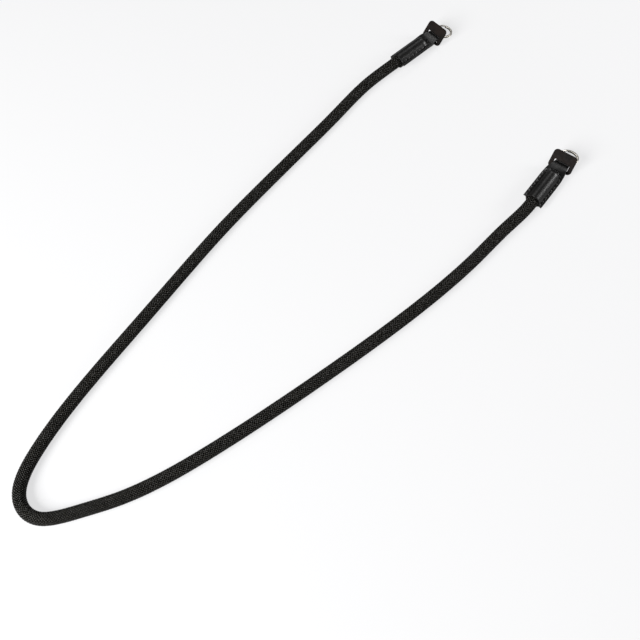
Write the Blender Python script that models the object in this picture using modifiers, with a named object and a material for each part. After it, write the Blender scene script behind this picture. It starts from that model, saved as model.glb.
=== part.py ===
"""Camera neck strap, laid on a flat surface in one open loop.

A round braided rope ends at both sides in the same fitting. A leather strip is folded over the
rope's end and stitched beside it, so it makes a sleeve, a flat neck and a loop. The neck passes
through the slot of a small leather guard, and a flat split ring hangs in the loop.

Units are metres, +Z is up and the strap lies on z = 0. +X runs from the left end to the right one,
the rope's loop reaches towards -Y, and the origin lies between the two ends.
"""

import math

import bmesh
import bpy
import numpy as np
from mathutils import Matrix, Vector

# ---------------------------------------------------------------- driving dimensions, metres
ROPE_DIAMETER = 0.0100
LEATHER = 0.0013                     # one layer of leather
GAP = 0.0003                         # between pieces that touch on the real strap

SLEEVE_WIDTH = 0.0184                # across the two stitched wings
SLEEVE_STRAIGHT = 0.0284             # from the mouth to where the sleeve's end rounds off
ROPE_DEPTH = 0.0290                  # rope inside each sleeve
NECK_BEND_START = 0.0364             # along the strip from the mouth, as all strip places below
NECK_BEND_END = 0.0454
NECK_DROP = math.radians(12.8)       # slope at which the neck ends, down towards the surface
TWIST_START = SLEEVE_STRAIGHT
TWIST_END = 0.0414
LOOP_START = 0.0468                  # where the two layers part
LOOP_FULL = 0.0486
LOOP_TIP = 0.05495                   # the outside of the fold
LOOP_HALF_THICKNESS = 0.0025
LOOP_EYE = (0.0483, 0.0536)          # start and end of the space that the ring passes through
LOOP_EYE_HEIGHT = 0.0024
LOOP_EYE_CORNER = 0.0004
LEATHER_CHAMFER = 0.0003             # along the cut edges of the strip
SWELLING_FOOT = 0.0007               # flat leather that the foot of the swelling runs out over
DOME_SPREAD = 0.0030                 # half width at which the swelling's profile stops narrowing

RING_DIAMETER = 0.0180
RING_BAND = 0.0017                   # radial width of the flat wire
RING_WIRE = 0.0008                   # thickness of one coil
RING_COIL_GAP = 0.0001               # between the two coils
RING_CHAMFER = 0.00022
RING_TURNS = (0.08, 1.93)            # where the wire starts and ends, in turns
RING_RAMP = (0.95, 1.06)             # where it climbs from the lower coil to the upper one
RING_PLACE = 0.0576                  # the ring's middle, along the strip

GUARD_WIDTH = 0.0214
GUARD_LENGTH = 0.0162
GUARD_BELOW = 0.0049                 # of the guard's length, the part below the neck's middle
GUARD_THICKNESS = 0.0018
GUARD_CORNER = 0.0032
GUARD_TILT = math.radians(45.0)
GUARD_PLACE = 0.0446                 # where the neck passes through, along the strip
GUARD_SLOT = (0.0146, 0.0058)        # across and along the guard
GUARD_SLOT_NEAR = 0.0026             # of the slot's length, the part before the neck's middle
GUARD_SLOT_CORNER = 0.0012
GUARD_EDGE_ROUND = 0.00035

ROPE_STRAIGHT = 0.0080               # that leaves each sleeve before it bends
ROPE_SETTLING = 0.0600               # over which the rope comes down to the surface
ROPE_LINE_POINTS = 1600
ROPE_POINT_SPACING = 2 * ROPE_DIAMETER
ROPE_POINT_TURN = math.radians(15)
ROPE_SIDES_RESOLUTION = 4            # gives a tube with 12 sides

# ---------------------------------------------------------------- how finely shapes are divided
SWELLING_ARC = (35, 145)             # degrees round the rope that the upper leather follows
SWELLING_ARC_STEPS = 8
DOME_ANGLES = (0, 18, 34, 49, 62, 73)
NECK_PLACES = (0.0352, 0.0368, 0.0386, 0.0404, 0.0419, 0.0437, 0.0454)
NOSE_ANGLES = (0, 32, 58, 90)
CAVITY_SIDES = 20
CAVITY_DOME_STEPS = 4
RING_STEPS = 60
CUTTER_OVERRUN = 0.0010              # that a cutter reaches past the face it opens

# ---------------------------------------------------------------- sizes that follow
ROPE_RADIUS = ROPE_DIAMETER / 2
CAVITY_RADIUS = ROPE_RADIUS + GAP
SLEEVE_RADIUS = CAVITY_RADIUS + LEATHER
AXIS_HEIGHT = SLEEVE_RADIUS          # the sleeve rests on its round underside

# ---------------------------------------------------------------- the two ends
# name, mouth x, mouth y, heading of the strip in degrees from +X, roll of the wings in degrees
ENDS = (
    ("left", -0.0918, -0.0313, 97.1, -12.0),
    ("right", 0.1004, -0.0313, 109.0, 18.0),
)

# The rope's way over the surface from the left mouth to the right one: x, y in millimetres.
ROUTE_MM = (
    (-87.0, -68.8),
    (-75.5, -108.3),
    (-61.5, -155.3),
    (-47.5, -203.3),
    (-31.5, -254.3),
    (-13.0, -304.3),
    (6.0, -353.3),
    (24.5, -401.3),
    (43.5, -445.3),
    (57.5, -471.3),
    (69.4, -487.7),
    (80.0, -495.9),
    (92.8, -498.0),
    (104.4, -492.6),
    (112.0, -480.9),
    (118.8, -461.3),
    (125.7, -437.8),
    (131.0, -407.3),
    (133.5, -361.3),
    (133.3, -307.3),
    (131.5, -253.3),
    (128.5, -200.3),
    (123.5, -148.3),
    (115.8, -101.3),
    (108.0, -65.3),
)

# Half width of the leather strip along its length: place, half width.
STRIP_HALF_WIDTH = (
    (0.0000, SLEEVE_WIDTH / 2),
    (0.0265, SLEEVE_WIDTH / 2),
    (0.0310, 0.0090),
    (0.0368, 0.0084),
    (0.0404, 0.0074),
    (0.0419, 0.0070),
    (0.0454, 0.0066),
    (0.0474, 0.0060),
    (0.0494, 0.0058),
    (0.0529, 0.0057),
    (LOOP_TIP, 0.0051),
)

MODEL_NAME = "camera_neck_strap"


# ---------------------------------------------------------------- scene and collections
def clear_scene():
    """Remove whatever the file holds."""
    for item in list(bpy.data.objects):
        bpy.data.objects.remove(item, do_unlink=True)


def new_collection(name):
    """Return a new collection that is linked to the scene."""
    collection = bpy.data.collections.new(name)
    bpy.context.scene.collection.children.link(collection)
    return collection


def new_material(name, color, roughness, metallic=0.0):
    """Return a Principled material with a plain colour."""
    material = bpy.data.materials.new(name)
    material.use_nodes = True
    shader = material.node_tree.nodes["Principled BSDF"]
    shader.inputs["Base Color"].default_value = (*color, 1.0)
    shader.inputs["Roughness"].default_value = roughness
    shader.inputs["Metallic"].default_value = metallic
    material.diffuse_color = (*color, 1.0)
    return material


def add_object(name, data, collection, parent=None, material=None):
    """Link an object with the given data to a collection, under a parent."""
    item = bpy.data.objects.new(name, data)
    collection.objects.link(item)
    item.parent = parent
    if material is not None:
        data.materials.append(material)
    return item


def shade_round(mesh):
    """Shade a mesh smooth, with its real edges kept sharp."""
    mesh.shade_smooth()
    mesh.set_sharp_from_angle(angle=math.radians(35))


# ---------------------------------------------------------------- shared shapes
def interpolate(table, place):
    """Read a two-column table between its rows."""
    for (low, low_value), (high, high_value) in zip(table, table[1:]):
        if place <= high:
            share = max(0.0, (place - low) / (high - low))
            return low_value + share * (high_value - low_value)
    return table[-1][1]


def ease(share):
    """Go from 0 to 1 with level ends."""
    share = min(1.0, max(0.0, share))
    return share * share * (3 - 2 * share)


def loft(name, sections):
    """Return a closed mesh through equal rings of points, with both ends capped."""
    shape = bmesh.new()
    rings = [[shape.verts.new(point) for point in section] for section in sections]
    for ring, following in zip(rings, rings[1:]):
        for i in range(len(ring)):
            j = (i + 1) % len(ring)
            shape.faces.new((ring[i], ring[j], following[j], following[i]))
    shape.faces.new(reversed(rings[0]))
    shape.faces.new(rings[-1])
    bmesh.ops.recalc_face_normals(shape, faces=shape.faces)
    mesh = bpy.data.meshes.new(name)
    shape.to_mesh(mesh)
    shape.free()
    return mesh


def curve_to_mesh_object(curve_object, material=None):
    """Replace a curve object by a mesh object with welded caps."""
    depsgraph = bpy.context.evaluated_depsgraph_get()
    mesh = bpy.data.meshes.new_from_object(curve_object.evaluated_get(depsgraph))
    shape = bmesh.new()
    shape.from_mesh(mesh)
    bmesh.ops.remove_doubles(shape, verts=shape.verts, dist=1e-6)
    bmesh.ops.recalc_face_normals(shape, faces=shape.faces)
    shape.to_mesh(mesh)
    shape.free()
    mesh.materials.clear()
    name, parent = curve_object.name, curve_object.parent
    place, collection = curve_object.matrix_local.copy(), curve_object.users_collection[0]
    bpy.data.objects.remove(curve_object)
    item = add_object(name, mesh, collection, parent, material)
    item.matrix_local = place
    return item


def rounded_rectangle(width, length, corner, steps=5):
    """Return the outline points of a rectangle with round corners, anticlockwise."""
    points = []
    for quarter, (side_x, side_y) in enumerate(((1, 1), (-1, 1), (-1, -1), (1, -1))):
        centre_x = side_x * (width / 2 - corner)
        centre_y = side_y * (length / 2 - corner)
        for step in range(steps + 1):
            angle = math.radians(90) * (quarter + step / steps)
            points.append((centre_x + corner * math.cos(angle), centre_y + corner * math.sin(angle)))
    return points


# ---------------------------------------------------------------- the leather strip's middle line
def strip_frame(place, roll):
    """Return the frame of the strip at a place along it.

    The frame's X follows the strip, its Y runs across the strip and its Z is the leather's
    normal. The local origin lies on the surface below the middle of the sleeve's mouth.
    """
    bend = NECK_BEND_END - NECK_BEND_START
    share = min(1.0, max(0.0, (place - NECK_BEND_START) / bend))
    slope = NECK_DROP * share
    radius = bend / NECK_DROP
    x = min(place, NECK_BEND_START) + radius * math.sin(slope)
    z = AXIS_HEIGHT - radius * (1 - math.cos(slope))
    beyond = max(0.0, place - NECK_BEND_END)
    x += beyond * math.cos(slope)
    z -= beyond * math.sin(slope)
    twist = roll * (1 - ease((place - TWIST_START) / (TWIST_END - TWIST_START)))
    return (
        Matrix.Translation((x, 0, z))
        @ Matrix.Rotation(slope, 4, "Y")
        @ Matrix.Rotation(twist, 4, "X")
    )


def swelling_radius(place):
    """Return the radius of the leather over the rope, which ends in a round dome."""
    beyond = place - SLEEVE_STRAIGHT
    if beyond <= 0:
        return SLEEVE_RADIUS
    return math.sqrt(max(0.0, SLEEVE_RADIUS**2 - beyond**2))


def strip_half_thickness(place):
    """Return half the thickness of the two layers beside the rope and in the loop."""
    nose_start = LOOP_TIP - LOOP_HALF_THICKNESS
    if place > nose_start:
        beyond = min(place - nose_start, 0.97 * LOOP_HALF_THICKNESS)
        return math.sqrt(LOOP_HALF_THICKNESS**2 - beyond**2)
    opened = ease((place - LOOP_START) / (LOOP_FULL - LOOP_START))
    return LEATHER + opened * (LOOP_HALF_THICKNESS - LEATHER)


def strip_section(place, roll):
    """Return the strip's outline at a place: two wings and the swelling over the rope."""
    half_width = interpolate(STRIP_HALF_WIDTH, place)
    flat = strip_half_thickness(place)
    chamfer = min(LEATHER_CHAMFER, flat / 2)
    swelling = swelling_radius(place)
    spread = max(swelling, DOME_SPREAD)
    foot = spread + SWELLING_FOOT
    first, last = SWELLING_ARC
    upper = [(half_width - chamfer, flat), (foot, flat)]
    for step in range(SWELLING_ARC_STEPS + 1):
        angle = math.radians(first + (last - first) * step / SWELLING_ARC_STEPS)
        across = spread * math.cos(angle)
        height = math.sqrt(max(0.0, swelling**2 - across**2))
        upper.append((across, max(flat, height)))
    upper += [(-foot, flat), (chamfer - half_width, flat)]
    edge = [(-half_width, flat - chamfer), (-half_width, chamfer - flat)]
    lower = [(across, -height) for across, height in reversed(upper)]
    outline = upper + edge + lower + [(-across, height) for across, height in reversed(edge)]
    frame = strip_frame(place, roll)
    return [frame @ Vector((0, across, height)) for across, height in outline]


def strip_places():
    """Return the places along the strip that its shape needs."""
    full_width_end = STRIP_HALF_WIDTH[1][0]
    nose_start = LOOP_TIP - LOOP_HALF_THICKNESS
    dome = [SLEEVE_STRAIGHT + SLEEVE_RADIUS * math.sin(math.radians(a)) for a in DOME_ANGLES]
    nose = [nose_start + LOOP_HALF_THICKNESS * math.sin(math.radians(a)) for a in NOSE_ANGLES]
    loop = (LOOP_START, (LOOP_START + LOOP_FULL) / 2, LOOP_FULL)
    return [0.0, full_width_end / 2, full_width_end, *dome, *NECK_PLACES, *loop, *nose]


# ---------------------------------------------------------------- the pieces of one end
def add_cutter(name, mesh, collection, parent):
    """Add a body that only cuts another one."""
    cutter = add_object(name, mesh, collection, parent)
    cutter.display_type = "WIRE"
    cutter.hide_render = True
    return cutter


def rope_cavity(name, collection, parent):
    """Return the round hollow for the rope's end, turned about the sleeve's middle line."""
    profile = [(-CUTTER_OVERRUN, 0.0), (-CUTTER_OVERRUN, CAVITY_RADIUS)]
    for step in range(CAVITY_DOME_STEPS + 1):
        angle = math.radians(90) * step / CAVITY_DOME_STEPS
        reach = CAVITY_RADIUS * math.sin(angle)
        profile.append((SLEEVE_STRAIGHT + reach, CAVITY_RADIUS * math.cos(angle)))
    mesh = bpy.data.meshes.new(name)
    edges = [(i, i + 1) for i in range(len(profile) - 1)]
    mesh.from_pydata([(x, 0, radius) for x, radius in profile], edges, [])
    cutter = add_cutter(name, mesh, collection, parent)
    cutter.location.z = AXIS_HEIGHT
    turn = cutter.modifiers.new("turn", "SCREW")
    turn.axis = "X"
    turn.steps = CAVITY_SIDES
    turn.render_steps = CAVITY_SIDES
    turn.use_merge_vertices = True
    turn.merge_threshold = 0.00001
    turn.use_normal_calculate = True
    return cutter


def loop_eye(name, collection, parent):
    """Return the flat space in the loop that the ring passes through."""
    bpy.ops.mesh.primitive_cube_add(size=1)
    cutter = bpy.context.object
    mesh = cutter.data
    bpy.data.objects.remove(cutter)
    mesh.name = name
    start, end = LOOP_EYE
    mesh.transform(Matrix.Diagonal((end - start, SLEEVE_WIDTH, LOOP_EYE_HEIGHT, 1)))
    cutter = add_cutter(name, mesh, collection, parent)
    cutter.matrix_local = strip_frame((start + end) / 2, 0.0)
    rounding = cutter.modifiers.new("round corners", "BEVEL")
    rounding.width = LOOP_EYE_CORNER
    rounding.segments = 2
    return cutter


def build_tab(side, roll, parent, parts, cutters, material):
    """Build the folded leather strip: sleeve, neck and loop in one piece."""
    name = f"{side}_end_tab"
    sections = [strip_section(place, roll) for place in strip_places()]
    mesh = loft(name, sections)
    shade_round(mesh)
    tab = add_object(name, mesh, parts, parent, material)
    for cutter in (
        rope_cavity(f"{side}_rope_cavity", cutters, parent),
        loop_eye(f"{side}_loop_eye", cutters, parent),
    ):
        cut = tab.modifiers.new(cutter.name, "BOOLEAN")
        cut.operation = "DIFFERENCE"
        cut.object = cutter
    return tab


def guard_frame():
    """Return the guard's frame: its middle plane leans back where the neck passes through."""
    return (
        Matrix.Translation(strip_frame(GUARD_PLACE, 0.0).translation)
        @ Matrix.Rotation(-GUARD_TILT, 4, "Y")
        @ Matrix.Rotation(math.radians(-90), 4, "Z")
        @ Matrix.Translation((0, GUARD_LENGTH / 2 - GUARD_BELOW, 0))
    )


def build_guard(side, parent, parts, material):
    """Build the leather pad with the slot that the neck passes through."""
    curve = bpy.data.curves.new(f"{side}_guard", "CURVE")
    curve.dimensions = "2D"
    curve.fill_mode = "BOTH"
    curve.extrude = GUARD_THICKNESS / 2
    slot_middle = GUARD_BELOW - GUARD_LENGTH / 2 + GUARD_SLOT[1] / 2 - GUARD_SLOT_NEAR
    outlines = (
        (rounded_rectangle(GUARD_WIDTH, GUARD_LENGTH, GUARD_CORNER), 0.0),
        (rounded_rectangle(*GUARD_SLOT, GUARD_SLOT_CORNER, steps=3), slot_middle),
    )
    for outline, shift in outlines:
        spline = curve.splines.new("POLY")
        spline.points.add(len(outline) - 1)
        for point, (x, y) in zip(spline.points, outline):
            point.co = (x, y + shift, 0, 1)
        spline.use_cyclic_u = True
    guard = add_object(f"{side}_guard", curve, parts, parent)
    guard.matrix_local = guard_frame()
    bpy.context.view_layer.update()
    guard = curve_to_mesh_object(guard, material)
    rounding = guard.modifiers.new("worn edges", "BEVEL")
    rounding.width = GUARD_EDGE_ROUND
    rounding.segments = 2
    rounding.limit_method = "ANGLE"
    rounding.angle_limit = math.radians(50)
    return guard


def ring_section(turn):
    """Return the flat wire's outline at an angle that is counted in turns."""
    angle = 2 * math.pi * turn
    start, end = RING_RAMP
    level = (RING_WIRE + RING_COIL_GAP) * (ease((turn - start) / (end - start)) - 0.5)
    outer = RING_DIAMETER / 2
    inner = outer - RING_BAND
    chamfer = RING_CHAMFER
    half = RING_WIRE / 2
    outline = (
        (inner, half - chamfer),
        (inner + chamfer, half),
        (outer - chamfer, half),
        (outer, half - chamfer),
        (outer, chamfer - half),
        (outer - chamfer, -half),
        (inner + chamfer, -half),
        (inner, chamfer - half),
    )
    return [
        Vector((radius * math.cos(angle), radius * math.sin(angle), level + height))
        for radius, height in outline
    ]


def build_ring(side, parent, parts, material):
    """Build the split ring: a flat wire that winds round almost twice."""
    name = f"{side}_ring"
    first, last = RING_TURNS
    turns = [first + (last - first) * i / RING_STEPS for i in range(RING_STEPS + 1)]
    mesh = loft(name, [ring_section(turn) for turn in turns])
    shade_round(mesh)
    ring = add_object(name, mesh, parts, parent, material)
    ring.matrix_local = strip_frame(RING_PLACE, 0.0)
    return ring


# ---------------------------------------------------------------- the rope
def rope_route():
    """Return the points that the rope's middle line passes through, seen from above."""
    ends = []
    for side, mouth_x, mouth_y, heading, _ in ENDS:
        mouth = Vector((mouth_x, mouth_y, 0))
        into = Vector((math.cos(math.radians(heading)), math.sin(math.radians(heading)), 0))
        ends.append([mouth + into * place for place in (ROPE_DEPTH, 0.35 * ROPE_DEPTH, -ROPE_STRAIGHT)])
    left, right = ends
    return left + [Vector((x * 0.001, y * 0.001, 0)) for x, y in ROUTE_MM] + right[::-1]


def smooth_line(points, count):
    """Return close points on the natural cubic spline through the given ones."""
    spans = np.array([(end - start).length for start, end in zip(points, points[1:])])
    values = np.array([point[:] for point in points])
    slopes = np.diff(values, axis=0) / spans[:, None]
    system = np.eye(len(points))
    bends = np.zeros_like(values)
    for i in range(1, len(points) - 1):
        system[i, i - 1 : i + 2] = spans[i - 1], 2 * (spans[i - 1] + spans[i]), spans[i]
        bends[i] = 6 * (slopes[i] - slopes[i - 1])
    bends = np.linalg.solve(system, bends)
    line = []
    places = np.concatenate(([0.0], np.cumsum(spans)))
    for target in np.linspace(0, places[-1], count):
        i = min(int(np.searchsorted(places, target, side="right")) - 1, len(spans) - 1)
        a, b = places[i + 1] - target, target - places[i]
        curved = (bends[i] * a**3 + bends[i + 1] * b**3) / (6 * spans[i])
        start = (values[i] / spans[i] - bends[i] * spans[i] / 6) * a
        end = (values[i + 1] / spans[i] - bends[i + 1] * spans[i] / 6) * b
        line.append(Vector(curved + start + end))
    return line


def settle(line):
    """Lower the rope from the sleeves' height to the surface over a short way at both ends."""
    step = (line[1] - line[0]).length
    for i, point in enumerate(line):
        beyond = min(i, len(line) - 1 - i) * step - ROPE_DEPTH
        point.z = AXIS_HEIGHT + (ROPE_RADIUS - AXIS_HEIGHT) * ease(beyond / ROPE_SETTLING)


def spaced(line):
    """Keep the points that a tube needs: close together only where the line bends."""
    kept = [line[0]]
    heading = line[1] - line[0]
    for point, following in zip(line[1:], line[2:]):
        far = (point - kept[-1]).length >= ROPE_POINT_SPACING
        turned = (following - point).angle(heading) >= ROPE_POINT_TURN
        if far or turned:
            kept.append(point)
            heading = following - point
    kept.append(line[-1])
    return kept


def build_rope(parts, material):
    """Build the rope as a plain round tube along its route."""
    line = smooth_line(rope_route(), ROPE_LINE_POINTS)
    settle(line)
    points = spaced(line)
    curve = bpy.data.curves.new("rope", "CURVE")
    curve.dimensions = "3D"
    curve.bevel_depth = ROPE_RADIUS
    curve.bevel_resolution = ROPE_SIDES_RESOLUTION
    curve.use_fill_caps = True
    spline = curve.splines.new("POLY")
    spline.points.add(len(points) - 1)
    for control, point in zip(spline.points, points):
        control.co = (*point, 1)
    return add_object("rope", curve, parts, None, material)


# ---------------------------------------------------------------- the whole strap
def build_end(side, mouth_x, mouth_y, heading, roll, parts, cutters, materials):
    """Build the tab, guard and ring of one end under an empty at the sleeve's mouth."""
    base = add_object(f"{side}_end", None, parts)
    base.location = (mouth_x, mouth_y, 0)
    base.rotation_euler.z = math.radians(heading)
    build_tab(side, math.radians(roll), base, parts, cutters, materials["leather"])
    build_guard(side, base, parts, materials["guard"])
    build_ring(side, base, parts, materials["steel"])


def main():
    """Build the whole strap."""
    clear_scene()
    parts = new_collection(MODEL_NAME)
    cutters = new_collection("cutters")
    materials = {
        "rope": new_material("braided_nylon", (0.018, 0.018, 0.018), 0.60),
        "leather": new_material("black_leather", (0.020, 0.019, 0.019), 0.42),
        "guard": new_material("dark_brown_leather", (0.035, 0.028, 0.025), 0.62),
        "steel": new_material("nickel_plated_steel", (0.70, 0.69, 0.67), 0.22, 1.0),
    }
    build_rope(parts, materials["rope"])
    for side, mouth_x, mouth_y, heading, roll in ENDS:
        build_end(side, mouth_x, mouth_y, heading, roll, parts, cutters, materials)
    bpy.context.view_layer.update()


main()
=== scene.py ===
"""Looks of a camera neck strap, laid on a pale floor in one open loop.

The strap is a round braided rope. At both ends it is stitched into a folded leather tab, whose
neck passes through a small leather guard and whose loop holds a flat split ring. Every length is
in metres, +Z is up, and the strap lies on z = 0 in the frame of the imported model.
"""

import logging
import math
from contextlib import contextmanager
from dataclasses import dataclass
from enum import Enum
from functools import cached_property
from typing import Any, Callable, Iterator, Sequence

import bmesh
import bpy
import numpy as np
from bpy.types import Material, Node, NodeSocket, NodeTree, Object
from mathutils import Matrix, Vector


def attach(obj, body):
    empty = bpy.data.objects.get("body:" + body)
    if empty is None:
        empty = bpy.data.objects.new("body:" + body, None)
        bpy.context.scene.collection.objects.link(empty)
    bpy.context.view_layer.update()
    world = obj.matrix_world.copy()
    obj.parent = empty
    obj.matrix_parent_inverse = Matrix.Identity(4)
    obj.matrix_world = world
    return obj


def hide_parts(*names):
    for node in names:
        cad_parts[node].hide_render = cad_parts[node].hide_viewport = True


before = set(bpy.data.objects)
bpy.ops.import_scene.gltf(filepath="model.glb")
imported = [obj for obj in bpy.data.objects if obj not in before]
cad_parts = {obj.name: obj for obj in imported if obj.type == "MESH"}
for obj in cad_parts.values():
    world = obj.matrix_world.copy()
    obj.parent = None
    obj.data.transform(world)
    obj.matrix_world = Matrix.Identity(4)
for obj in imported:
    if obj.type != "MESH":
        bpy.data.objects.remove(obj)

LOG = logging.getLogger("neck_strap")
MM = 0.001
BODY = "root"

Pair = tuple[float, float]
Triple = tuple[float, float, float]
Faces = list[tuple[int, ...]]
Inputs = dict[Any, Any]  # a node's inputs, by name or number: a value to set or a socket to link

# ---- sizes shared by several pieces
ROPE_RADIUS = 5.0 * MM
LEATHER = 1.3 * MM  # one layer
SLEEVE_RADIUS = 6.6 * MM  # outside of the leather over the rope
AXIS_HEIGHT = SLEEVE_RADIUS  # the sleeve rests on its round underside
SLEEVE_STRAIGHT = 28.4 * MM  # from the mouth to where the sleeve's end rounds off
ROPE_DEPTH = 29.0 * MM  # rope inside each sleeve

# The rope's way over the floor from the left mouth to the right one: x, y in millimetres.
ROUTE_MM = (
    (-87.0, -68.8), (-75.5, -108.3), (-61.5, -155.3), (-47.5, -203.3), (-31.5, -254.3),
    (-13.0, -304.3), (6.0, -353.3), (24.5, -401.3), (43.5, -445.3), (57.5, -471.3),
    (69.4, -487.7), (80.0, -495.9), (92.8, -498.0), (104.4, -492.6), (112.0, -480.9),
    (118.8, -461.3), (125.7, -437.8), (131.0, -407.3), (133.5, -361.3), (133.3, -307.3),
    (131.5, -253.3), (128.5, -200.3), (123.5, -148.3), (115.8, -101.3), (108.0, -65.3),
)


class Side(Enum):
    """The two ends of the strap."""

    LEFT = "left"
    RIGHT = "right"


class Slant(Enum):
    """Which way the yarns of one half of the braid lean, seen along the rope."""

    LEFTWARD = -1
    RIGHTWARD = 1


class Part(Enum):
    """What can be selected on a mesh, and where a bmesh keeps it."""

    VERT = "verts"
    EDGE = "edges"
    FACE = "faces"


# ---- helpers for numbers and materials
def ease(share: float) -> float:
    """Return a share that goes from 0 to 1 with level ends, of one that is clamped to 0..1."""
    share = min(1.0, max(0.0, share))
    return share * share * (3 - 2 * share)


def linear(code: str) -> tuple[float, ...]:
    """Turn an sRGB colour such as "#1c1614" into the linear one that shaders take, with alpha."""
    channels = [int(code[i : i + 2], 16) / 255 for i in (1, 3, 5)]
    return (*(c / 12.92 if c <= 0.04045 else ((c + 0.055) / 1.055) ** 2.4 for c in channels), 1.0)


def per_metre(size: float) -> float:
    """Return the texture scale that gives features of a real size in metres."""
    return 1.0 / size


def set_inputs(tree: NodeTree, node: Node, inputs: Inputs) -> None:
    """Set or link a node's inputs.

    Args:
        tree: The node tree that it is in.
        node: The node.
        inputs: What goes into them.
    """
    for name, value in inputs.items():
        if isinstance(value, NodeSocket):
            tree.links.new(value, node.inputs[name])
        else:
            node.inputs[name].default_value = value


def add_node(
    tree: NodeTree, kind: str, inputs: Inputs, output: int | str = 0, **settings: Any
) -> NodeSocket:
    """Add a node with its settings and links.

    Args:
        tree: The node tree that gets it.
        kind: The node's type name, without its "ShaderNode".
        inputs: What goes into it.
        output: The output that is wanted, by name or number.
        **settings: The node's own settings, or, for a colour ramp, the stops: the place and
            the sRGB colour of its two ends.

    Returns:
        The wanted output.
    """
    node = tree.nodes.new("ShaderNode" + kind)
    for i, (place, code) in enumerate(settings.pop("stops", ())):
        node.color_ramp.elements[i].position = place
        node.color_ramp.elements[i].color = linear(code)
    for name, value in settings.items():
        setattr(node, name, value)
    set_inputs(tree, node, inputs)
    return node.outputs[output]


def seen_or_cast(tree: NodeTree, seen: float, cast: float) -> NodeSocket:
    """Return a strength of one value where it is looked at and another for the light it casts."""
    looked_at = add_node(tree, "LightPath", {}, "Is Camera Ray")
    return add_node(tree, "MapRange", {"Value": looked_at, "To Min": cast, "To Max": seen})


# ---- helpers for meshes
def activate(item: Object | None = None) -> None:
    """Leave edit mode and deselect everything, apart from an object that is then the active one.

    Args:
        item: The object, if any.
    """
    if bpy.context.object and bpy.context.object.mode != "OBJECT":
        bpy.ops.object.mode_set(mode="OBJECT")
    bpy.ops.object.select_all(action="DESELECT")
    if item is not None:
        item.select_set(True)
        bpy.context.view_layer.objects.active = item


def add_primitive(name: str, operator: Callable[..., Any], **settings: Any) -> Object:
    """Add a primitive, as the only selected object.

    Args:
        name: The name of the object and its mesh.
        operator: The operator that adds it.
        **settings: The operator's settings.

    Returns:
        The new object.
    """
    activate()
    operator(**settings)
    item = bpy.context.object
    item.name = name
    item.data.name = name
    return item


@contextmanager
def editing(item: Object) -> Iterator[None]:
    """Edit an object's mesh, with all of it selected at first, and leave edit mode at the end.

    Args:
        item: The object.
    """
    activate(item)
    bpy.ops.object.mode_set(mode="EDIT")
    bpy.ops.mesh.select_all(action="SELECT")
    yield
    bpy.ops.object.mode_set(mode="OBJECT")


def select(item: Object, part: Part, wanted: Callable[[Any], bool]) -> None:
    """Select what meets a test, and nothing else, on the object in edit mode.

    Args:
        item: The object in edit mode.
        part: What is selected.
        wanted: A test that takes one of them and says whether it is selected.
    """
    shape = bmesh.from_edit_mesh(item.data)
    bpy.ops.mesh.select_all(action="DESELECT")
    bpy.ops.mesh.select_mode(type=part.name)
    for one in getattr(shape, part.value):
        one.select_set(bool(wanted(one)))
    shape.select_flush_mode()
    bmesh.update_edit_mesh(item.data)


def turn_outwards(item: Object) -> None:
    """Make all faces of an object point outwards."""
    with editing(item):
        bpy.ops.mesh.normals_make_consistent(inside=False)


def apply_modifier(item: Object, kind: str, **settings: Any) -> None:
    """Add a modifier to an object and apply it.

    Args:
        item: The object.
        kind: The modifier's type name.
        **settings: The modifier's settings.
    """
    activate(item)
    modifier = item.modifiers.new(kind.lower(), kind)
    for name, value in settings.items():
        setattr(modifier, name, value)
    bpy.ops.object.modifier_apply(modifier=modifier.name)


def round_edges(item: Object, width: float, segments: int) -> None:
    """Round an object's edges of more than 60 degrees, to a width and in a number of strips."""
    limit = {"limit_method": "ANGLE", "angle_limit": math.radians(60)}
    apply_modifier(item, "BEVEL", width=width, segments=segments, **limit)


def smooth_and_place(item: Object, place: Matrix) -> None:
    """Shade an object smooth up to its edges and move its mesh, but not the object, into place.

    Args:
        item: The object.
        place: The mesh's place in the model's frame.
    """
    activate(item)
    bpy.ops.object.shade_smooth_by_angle(angle=math.radians(40))
    item.data.transform(place)
    item.data.update()


def take_apart(item: Object) -> tuple[np.ndarray, Faces]:
    """Read an object's mesh and remove the object.

    Args:
        item: The object.

    Returns:
        Its points and its faces.
    """
    points = np.array([corner.co for corner in item.data.vertices])
    faces = [tuple(face.vertices) for face in item.data.polygons]
    bpy.data.objects.remove(item)
    return points, faces


def copied_faces(faces: Faces, corners: int, count: int) -> Faces:
    """Return the faces of a number of copies, whose points follow one another in one mesh."""
    starts = range(0, count * corners, corners)
    return [tuple(corner + start for corner in face) for start in starts for face in faces]


def mesh_object(name: str, points: Sequence[Any], faces: Faces) -> Object:
    """Make a smooth object from points and faces.

    Args:
        name: The object's name.
        points: One row of x, y, z for each point.
        faces: The point numbers of each face, anticlockwise from outside.

    Returns:
        The new object, linked to the scene.
    """
    mesh = bpy.data.meshes.new(name)
    mesh.from_pydata(points, [], faces)
    mesh.shade_smooth()
    item = bpy.data.objects.new(name, mesh)
    bpy.context.scene.collection.objects.link(item)
    return item


def add_uv_map(item: Object, name: str, flat: np.ndarray) -> None:
    """Give an object a UV map.

    Args:
        item: The object.
        name: The map's name.
        flat: One row of u, v for each point of its mesh.
    """
    corners = np.empty(len(item.data.loops), dtype=np.int32)
    item.data.loops.foreach_get("vertex_index", corners)
    layer = item.data.uv_layers.new(name=name)
    layer.data.foreach_set("uv", flat[corners].astype(np.float32).ravel())


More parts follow.
